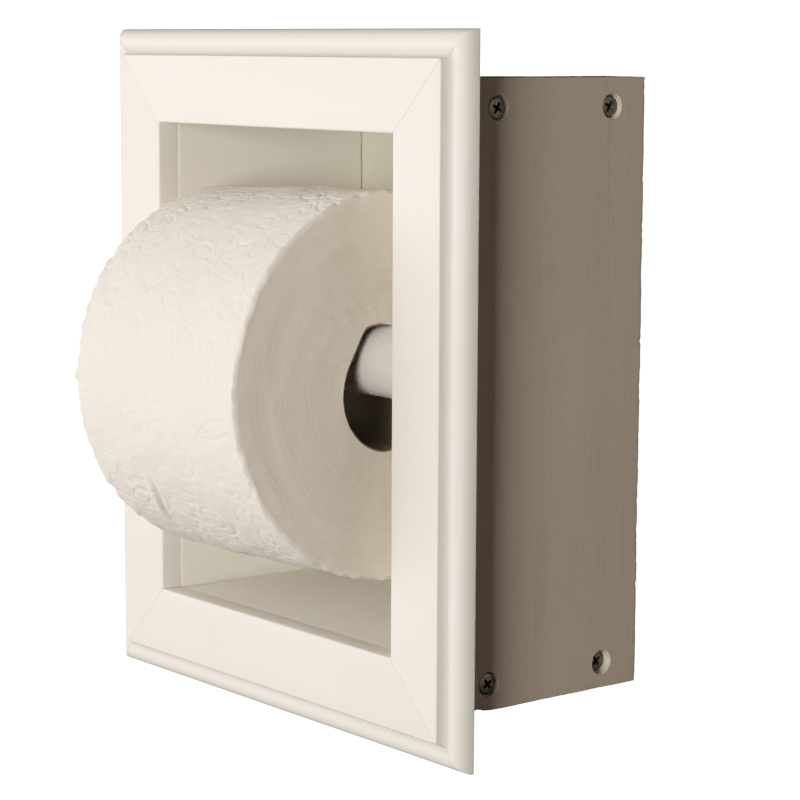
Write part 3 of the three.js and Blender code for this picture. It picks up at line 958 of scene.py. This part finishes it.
def cross_wing(turn):
    """One tapered wing of the driver's cross."""
    ends = [(0.5 * MM, 2.1 * MM, 0.5 * MM), (-2.0 * MM, 0.6 * MM, 0.32 * MM)]
    spin = Matrix.Rotation(turn, 3, "Z")
    vertices = []
    for height, length, width in ends:
        for sx, sy in ((-1, -1), (1, -1), (1, 1), (-1, 1)):
            vertices.append(spin @ Vector((sx * length, sy * width, height)))
    sides = [(0, 4, 5, 1), (1, 5, 6, 2), (2, 6, 7, 3), (3, 7, 4, 0)]
    return new_piece("wing", vertices, [(0, 1, 2, 3), (7, 6, 5, 4), *sides])


def make_screws():
    mesh = screw_mesh()
    turns = iter(np.random.RandomState(4).uniform(0, math.pi, 8))
    for side, hand in (("left", -1), ("right", 1)):
        for node in screw_nodes(side):
            screw = add_object(node.replace("box_screw", "screw"), mesh)
            turn = next(turns)
            if "_top_" in node:
                turn = TOP_DRIVE_TURN
            place = Matrix.Translation(screw_seat(node, hand)) @ along_x(hand)
            screw.matrix_world = place @ Matrix.Rotation(turn, 4, "Z")
            stands_for(screw, node)


def nail_mesh(name, length, head_radius, head_height, material):
    """A nail along +Z with the underside of its head at height 0."""
    radius = 0.7 * MM
    outline = [
        (0, -length),
        (radius * 0.45, -length + 1.1 * MM),
        (radius, -length + 2.2 * MM),
        (radius, 0),
        (head_radius * 0.96, 0),
        (head_radius, head_height * 0.3),
        (head_radius * 0.97, head_height * 0.75),
        (head_radius * 0.85, head_height),
        (0, head_height),
    ]
    piece = new_piece(name, *revolve(outline, 28), [material], smooth=35)
    mesh = piece.data
    bpy.data.objects.remove(piece)
    return mesh


def make_nails():
    bright = steel("nail_steel", (0.52, 0.51, 0.50), (0.36, 0.345, 0.33), 0.42)
    brad_head, panel_head = 0.7 * MM, 0.6 * MM
    brad = nail_mesh("brad", 20 * MM, 1.1 * MM, brad_head, bright)
    panel_nail = nail_mesh("panel_nail", 14 * MM, 1.9 * MM, panel_head, bright)
    for node in frame["nodes"]:
        if not node.startswith(("frame_nail", "back_nail")):
            continue
        low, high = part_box(node)
        middle = (low + high) / 2
        if node.startswith("frame_nail"):
            mesh, head, turn = brad, low.y + brad_head, QUARTER
        else:
            mesh, head, turn = panel_nail, high.y - panel_head, -QUARTER
        pin = add_object(node.replace("_nail", "_pin"), mesh)
        place = Matrix.Translation((middle.x, head, middle.z))
        pin.matrix_world = place @ Matrix.Rotation(turn, 4, "X")
        stands_for(pin, node)


# ---------- roller ----------
def roller_tube(name, node, hand, bore, outside, outer_corner, mouth, material):
    """One tube of the roller, its closed end towards hand. mouth is its open end.

    The outline's points are (radius, place along the axis, radius of the rounded corner).
    """
    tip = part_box("roller_outer_tube")[1].x
    guide = ROLLER_CAP - 6 * MM
    dish = ROLLER_END - 0.5 * MM
    points = [(0, guide, 0), (4.2, guide, 0.5), (4.2, ROLLER_CAP, 0.3), (bore, ROLLER_CAP, 0.4)]
    points += mouth
    points += [(outside, ROLLER_END, outer_corner), (6.2, ROLLER_END, 0.15), (5.9, dish, 0.1)]
    points += [(3.2, dish, 0.3), (3.2, tip, 0.9), (0, tip, 0)]
    outline = [(radius * MM, hand * along) for radius, along, _ in points]
    rounded = fillet(outline, [corner * MM for _, _, corner in points], 3)
    piece = new_piece(name, *revolve(rounded, 96), [material], smooth=32)
    piece.data.transform(Matrix.Translation((0, roller_y, roller_z)) @ along_x(1))
    stands_for(piece, node)


def make_roller():
    """Radii and rounded corners are in millimetres, places along the axis in metres."""
    inside = (0.1, (1, 0.9, 0.8), 1.5 * MM)
    plastic = soft_material("roller_plastic", roller_plastic, *inside)
    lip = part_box("roller_outer_tube")[0].x
    mouth = [(10.5, lip + 2 * MM, 0.3), (10.1, lip + 1.5 * MM, 0.2)]
    mouth += [(10.1, lip, 0.35), (11.4, lip, 0.4)]
    roller_tube("roller_sleeve", "roller_outer_tube", 1, 10.5, 11.4, 0.9, mouth, plastic)
    lip = -PLUNGER_MOUTH
    mouth = [(8.6, lip, 0.3), (9.8, lip, 0.1), (10.2, lip + 0.5 * MM, 0.2)]
    mouth += [(10.2, lip + 1.5 * MM, 0.2), (9.8, lip + 2 * MM, 0.2)]
    roller_tube("roller_plunger", "roller_inner_tube", -1, 8.6, 9.8, 0.8, mouth, plastic)
    make_spring()


def make_spring():
    """A coil spring with one and a half closed turns at each end."""
    wire = 0.5 * MM
    radius = 6.5 * MM
    reach = ROLLER_CAP - wire - 0.3 * MM
    turns = 14
    closed = 1.5
    closed_pitch = 2.3 * wire
    open_pitch = (2 * reach - 2 * closed * closed_pitch) / (turns - 2 * closed)
    steps = turns * 32
    sides = 10
    ahead = Vector((1, 0, 0))
    vertices = []
    for k in range(steps + 1):
        turn = turns * k / steps
        tight = min(turn, closed) + max(0, turn - (turns - closed))
        along = -reach + closed_pitch * tight + open_pitch * (turn - tight)
        angle = 2 * math.pi * turn
        out = Vector((0, math.cos(angle), math.sin(angle)))
        for s in range(sides):
            around = 2 * math.pi * s / sides
            ring = math.cos(around) * out + math.sin(around) * ahead
            vertices.append(along * ahead + radius * out + wire * ring)
    faces = grid_faces(sides, steps + 1, closed=False)
    bright = steel("spring_steel", (0.58, 0.575, 0.57), (0.42, 0.41, 0.40), 0.3)
    spring = new_piece("coil_spring", vertices, faces, [bright], smooth=60)
    spring.data.transform(Matrix.Translation((0, roller_y, roller_z)))
    stands_for(spring, "roller_spring")
    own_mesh(spring)


# ---------- paper roll ----------
# The roll's own frame: local x is its axis, and the angle is 0 at the front and grows upwards.
def roll_place():
    spin = joints["roll_spin"]
    axis = Vector(spin["axis"]).normalized()
    back = Vector((0, 1, 0))
    up = axis.cross(back)
    place = Matrix((axis, back, up)).transposed().to_4x4()
    return Matrix.Translation(spin["pos_m"]) @ place


def turned_grid(rows, columns):
    """Angle, radius and place along the axis, over rows that start with (radius, place)."""
    flat = np.ones(columns)
    angle = np.arange(columns) * 2 * math.pi / columns * np.ones((len(rows), 1))
    radius = np.array([row[0] for row in rows])[:, None] * flat
    return angle, radius, np.array([row[1] for row in rows])[:, None] * flat


def turned_piece(name, node, angle, radius, along, materials, smooth, slots=None):
    """A closed surface over a turned grid, placed on the roll's axis."""
    vertices = np.stack([along, -radius * np.cos(angle), radius * np.sin(angle)], axis=-1)
    faces = grid_faces(angle.shape[1], angle.shape[0], closed=True)
    points = vertices.reshape(-1, 3).tolist()
    piece = new_piece(name, points, faces, materials, smooth, slots)
    piece.matrix_world = roll_place()
    stands_for(piece, node)


def bell(value, centre, width):
    """A smooth hump of height 1."""
    return np.exp(-(((value - centre) / width) ** 2))


def ramp(value, start, length):
    """0 up to start, then rising to 1 over the length."""
    return np.clip((value - start) / length, 0, 1)


def wrapped(value, turn=360):
    """The same place round a full turn, within half a turn of 0."""
    return (value + turn / 2) % turn - turn / 2


def degrees_round(around):
    """The angle of a place in millimetres round the roll."""
    return np.degrees(around / (ROLL_RADIUS / MM))


def core_dent(angle, along):
    """How far the core's wall is pushed out. Its right end is knocked out of round."""
    degrees = wrapped(np.degrees(angle))
    pushed = 1.6 * (1 - ramp(np.abs(degrees - 61), 0, 24)) ** 1.5
    pushed -= 1.25 * bell(degrees, 30, 20) + 0.35 * bell(degrees, 6, 12)
    pushed += 0.9 * bell(degrees, -48, 36)
    pushed -= 1.5 * bell(degrees, 93, 13) + 0.95 * bell(degrees, -93, 12)
    return pushed * ramp(along / MM, 12, 33) ** 1.3 * MM


def waves(angle, along, seed, count, orders, length):
    """A sum of smooth ripples that closes on itself round the roll, about 1 high."""
    draw = np.random.RandomState(seed)
    total = 0
    for _ in range(count):
        order = draw.randint(1, orders + 1)
        slope = draw.normal() * 2 * math.pi / length
        total = total + np.cos(order * angle + slope * along + draw.uniform(0, 2 * math.pi))
    return total / math.sqrt(count)


# The motifs pressed in the paper: depths 0 to 1 at places u, v in millimetres from a centre.
def oval_line(u, v, a, b):
    """A pressed line along an oval."""
    level = np.sqrt((u / a) ** 2 + (v / b) ** 2) + 1e-9
    slope = np.sqrt((u / a**2) ** 2 + (v / b**2) ** 2) / level + 1e-9
    return bell(np.abs(level - 1) / slope, 0, EMBOSS_LINE)


def stipple(u, v, reach):
    """Small pits in a round field."""
    pits = (0.5 + 0.5 * np.cos(2.4 * u + 0.8 * v)) * (0.5 + 0.5 * np.cos(2.4 * v - 0.8 * u))
    return pits**2 * np.clip((reach - np.hypot(u, v)) / 1.2, 0, 1)


def ring_motif(u, v):
    return np.maximum(oval_line(u, v, 3.2, 3.2), 0.7 * oval_line(u, v, 2.1, 2.1))


def petal_ring(u, v, count, distance, length, width):
    """Outlined petals round a centre."""
    total = 0
    for k in range(count):
        turn = 2 * math.pi * k / count
        out = u * math.cos(turn) + v * math.sin(turn) - distance
        across = -u * math.sin(turn) + v * math.cos(turn)
        total = np.maximum(total, oval_line(out, across, length, width))
    return total


def flower_motif(u, v):
    """Long petals round a stippled centre."""
    return np.maximum(petal_ring(u, v, 6, 7.4, 4.4, 2.5), stipple(u, v, 3.6))


def daisy_motif(u, v):
    """Short petals round a small ring."""
    return np.maximum(petal_ring(u, v, 8, 5.0, 2.6, 1.3), oval_line(u, v, 2.0, 2.0))


def leaf_motif(u, v):
    """A long pointed leaf with a midrib."""
    half_width = 3.2 * np.clip(1 - (u / 9.5) ** 2, 0, 1)
    edge = bell(np.abs(v) - half_width, 0, EMBOSS_LINE) * (np.abs(u) < 9.5)
    rib = bell(v, 0, EMBOSS_LINE * 0.8) * (np.abs(u) < 7)
    return np.maximum(edge, 0.7 * rib)


def sprig_motif(u, v):
    """A curved stem with a small leaf on each side and a bud."""
    stem = bell(v - 2.2 * np.sin(u / 4.5), 0, EMBOSS_LINE) * (np.abs(u) < 11)
    low_leaf = oval_line(u + 4.6, v - 2.2, 3.4, 1.5)
    high_leaf = oval_line(u - 3.0, v + 2.4, 3.4, 1.5)
    bud = oval_line(u - 11, v - 1.4, 1.6, 1.6)
    return np.maximum(np.maximum(stem, bud), np.maximum(low_leaf, high_leaf))


def swirl_motif(u, v):
    """A spiral of one and a half turns."""
    distance = np.hypot(u, v)
    angle = np.arctan2(v, u) % (2 * math.pi)
    total = 0
    for turn in range(2):
        wound = angle / (2 * math.pi) + turn
        line = bell(distance - (2.0 + 3.2 * wound), 0, EMBOSS_LINE)
        total = np.maximum(total, line * (wound < 1.5))
    return total


MOTIFS = [flower_motif, sprig_motif, leaf_motif, daisy_motif]
MOTIFS += [flower_motif, swirl_motif, sprig_motif]
MOTIF_REACH = 13.5
MOTIF_STRETCH = 1.3


def scattered(around, along, motifs, seed, columns, rows, sizes):
    """Motifs on a loose staggered grid, each turned its own way."""
    draw = np.random.RandomState(seed)
    length_round = 2 * math.pi * ROLL_RADIUS / MM
    pattern = np.zeros_like(around)
    for column in range(columns):
        for row in range(rows):
            shift = draw.uniform(-2.5, 2.5, 2)
            centre_round = (column + 0.5 * (row % 2)) * length_round / columns + shift[0]
            centre_along = ((row + 0.5) / rows - 0.5) * ROLL_LENGTH / MM + shift[1]
            motif = motifs[draw.randint(len(motifs))]
            turn = draw.uniform(0, 2 * math.pi)
            size = draw.uniform(*sizes)
            offset = wrapped(around - centre_round, length_round)
            beside = (along - centre_along) / MOTIF_STRETCH
            u = (offset * math.cos(turn) + beside * math.sin(turn)) / size
            v = (-offset * math.sin(turn) + beside * math.cos(turn)) / size
            near = np.hypot(u, v) < MOTIF_REACH
            pattern[near] = np.maximum(pattern[near], motif(u[near], v[near]))
    return pattern


def embossing(around, along):
    """Depth, 0 to 1, of the pattern pressed in the paper. Both places are in millimetres."""
    large = scattered(around, along, MOTIFS, 11, 17, 4, (0.85, 1.15))
    small = scattered(around, along, [ring_motif], 5, 13, 3, (0.9, 1.3))
    return np.maximum(large, small)


def crease(around, along):
    """A soft fold in the outer sheet, low on the front, in millimetres."""
    degrees = wrapped(degrees_round(around))
    line = -17.5 + 3.2 * np.sin((degrees + 40) / 5.5)
    ends = ramp(degrees, -52, 6) * ramp(-degrees, 28, 5)
    distance = along - line
    return ends * (0.75 * bell(distance, 0, 0.9) - 0.4 * bell(distance, -2.2, 1.5))


def perforation(around, along):
    """Lines of slits across the sheet, in millimetres."""
    degrees = degrees_round(around)
    slits = 0.5 + 0.5 * np.cos(2 * math.pi * along / 4.5)
    total = 0
    for place in (-53.5, 73, 200):
        distance = np.radians(wrapped(degrees - place)) * ROLL_RADIUS / MM
        total = total + 0.22 * bell(distance, 0, 0.5) * (0.35 + 0.65 * slits**3)
    return total


def tail_step(around):
    """The sheet's loose end lies on the layer below, behind the roll, in millimetres."""
    past = (degrees_round(around) % 360 - 236) % 360
    return 0.32 * np.exp(-past / 7)


def roll_section():
    """Rows of (radius, place along the axis, part), from one bore edge round to the other."""
    half = ROLL_LENGTH / 2
    end_rows = 17
    rim_rows = 6
    outer_rows = 85
    rim_start = ROLL_RADIUS - ROLL_RIM
    rows = []
    for k in range(end_rows):
        rows.append((PAPER_BORE + (rim_start - PAPER_BORE) * k / end_rows, half, "end"))
    for k in range(rim_rows):
        angle = QUARTER * k / rim_rows
        radius = rim_start + ROLL_RIM * math.sin(angle)
        rows.append((radius, half - ROLL_RIM + ROLL_RIM * math.cos(angle), "rim"))
    for k in range(outer_rows + 1):
        rows.append((ROLL_RADIUS, (half - ROLL_RIM) * (1 - k / outer_rows), "outer"))
    mirrored = [(radius, -along, part) for radius, along, part in reversed(rows[:-1])]
    return rows + mirrored


def make_roll():
    """The wound paper, with its pressed pattern, soft rims and uneven cut ends.

    Heights and depths on the paper are in millimetres until they are added to a radius.
    """
    section = roll_section()
    angle, radius, along = turned_grid(section, ROLL_COLUMNS)
    half = ROLL_LENGTH / 2
    around_mm, along_mm = angle * ROLL_RADIUS / MM, along / MM
    depth_in = (radius - PAPER_BORE) / (ROLL_RADIUS - PAPER_BORE)

    worn = np.clip(0.85 + 0.35 * waves(angle, along, 14, 8, 12, 0.06), 0.45, 1.2)
    pressed = EMBOSS_DEPTH * worn * embossing(around_mm, along_mm)
    pressed += crease(around_mm, along_mm) + perforation(around_mm, along_mm)
    pressed -= tail_step(around_mm)
    slack = 0.20 * waves(angle, along, 3, 10, 9, 0.09)
    slack += 0.11 * waves(angle, along, 8, 16, 30, 0.03)
    slack += 0.045 * waves(angle, along, 17, 24, 110, 0.008)
    near_rim = ramp(np.abs(along), half - 1.4 * ROLL_RIM, ROLL_RIM)
    slack += 0.55 * np.clip(waves(angle, along, 19, 14, 70, 0.02), -1, 2) * near_rim
    outer = ramp(radius, ROLL_RADIUS - ROLL_RIM, ROLL_RIM)
    radius = radius + (slack - pressed - 0.35) * MM * outer

    is_end = np.array([row[2] == "end" for row in section])
    near_bore = is_end[:, None] * (1 - ramp(depth_in, 0, 0.35))
    radius = radius + core_dent(angle, along) * near_bore

    layer = np.random.RandomState(6).uniform(-1, 1, len(section))[:, None]
    ragged_end = 0.10 * layer + 0.14 * waves(angle, radius, 21, 12, 7, 0.012)
    ragged_end += 0.16 * waves(angle, radius, 31, 12, 40, 0.02) * ramp(depth_in, 0.9, 0.1)
    ragged_end += 0.05 * waves(angle, radius, 5, 12, 60, 0.004)
    hollow = 0.5 * (np.clip(depth_in, 0, 1) - 0.45) ** 2
    at_end = ramp(np.abs(along), half - ROLL_RIM, ROLL_RIM)
    along = along + np.sign(along) * (ragged_end - 0.25 - hollow) * MM * at_end

    cut_rim = half - 0.35 * ROLL_RIM
    row_slots = [part != "outer" and abs(place) > cut_rim for _, place, part in section]
    slots = np.repeat(np.array(row_slots, dtype=int), ROLL_COLUMNS)
    spread = (1, 0.85, 0.7)
    matt = {"Specular_IOR_Level": 0.15}
    paper = [
        soft_material("tissue_surface", crepe_paper, 0.12, spread, 1.2 * MM, **matt),
        soft_material("tissue_ends", cut_layers, 0.15, spread, 1.0 * MM, **matt),
    ]
    turned_piece("tissue_roll", "paper_roll", angle, radius, along, paper, 70, slots)


def make_core():
    """A thin cardboard tube with a spiral seam."""
    columns, lengths = 160, 46
    half = ROLL_LENGTH / 2 - CORE_RECESS
    places = [half - 2 * half * k / lengths for k in range(lengths + 1)]
    rows = [(CORE_BORE, place) for place in places]
    rows += [(CORE_BORE + CORE_WALL, -place) for place in places]
    angle, radius, along = turned_grid(rows, columns)
    spiral = (angle / (2 * math.pi) + along / (62 * MM)) % 1
    seam = 0.18 * MM * bell(spiral, 0.5, 0.02)
    inside = radius < CORE_BORE + 0.5 * CORE_WALL
    radius = radius + seam * inside + core_dent(angle, along)
    frayed = 0.12 * MM * waves(angle, radius, 9, 8, 40, 0.01)
    at_end = np.abs(along) > half - 0.1 * MM
    along = along + np.sign(along) * (frayed - 0.2 * MM) * at_end
    card = [new_material("core_cardboard", core_cardboard)]
    turned_piece("cardboard_core", "core_tube", angle, radius, along, card, 50)


# ---------- the scene ----------
set_response()
make_camera()
make_world()
make_lights()
make_floor()
make_moulding()
make_box()
make_screws()
make_nails()
make_roller()
make_roll()
make_core()
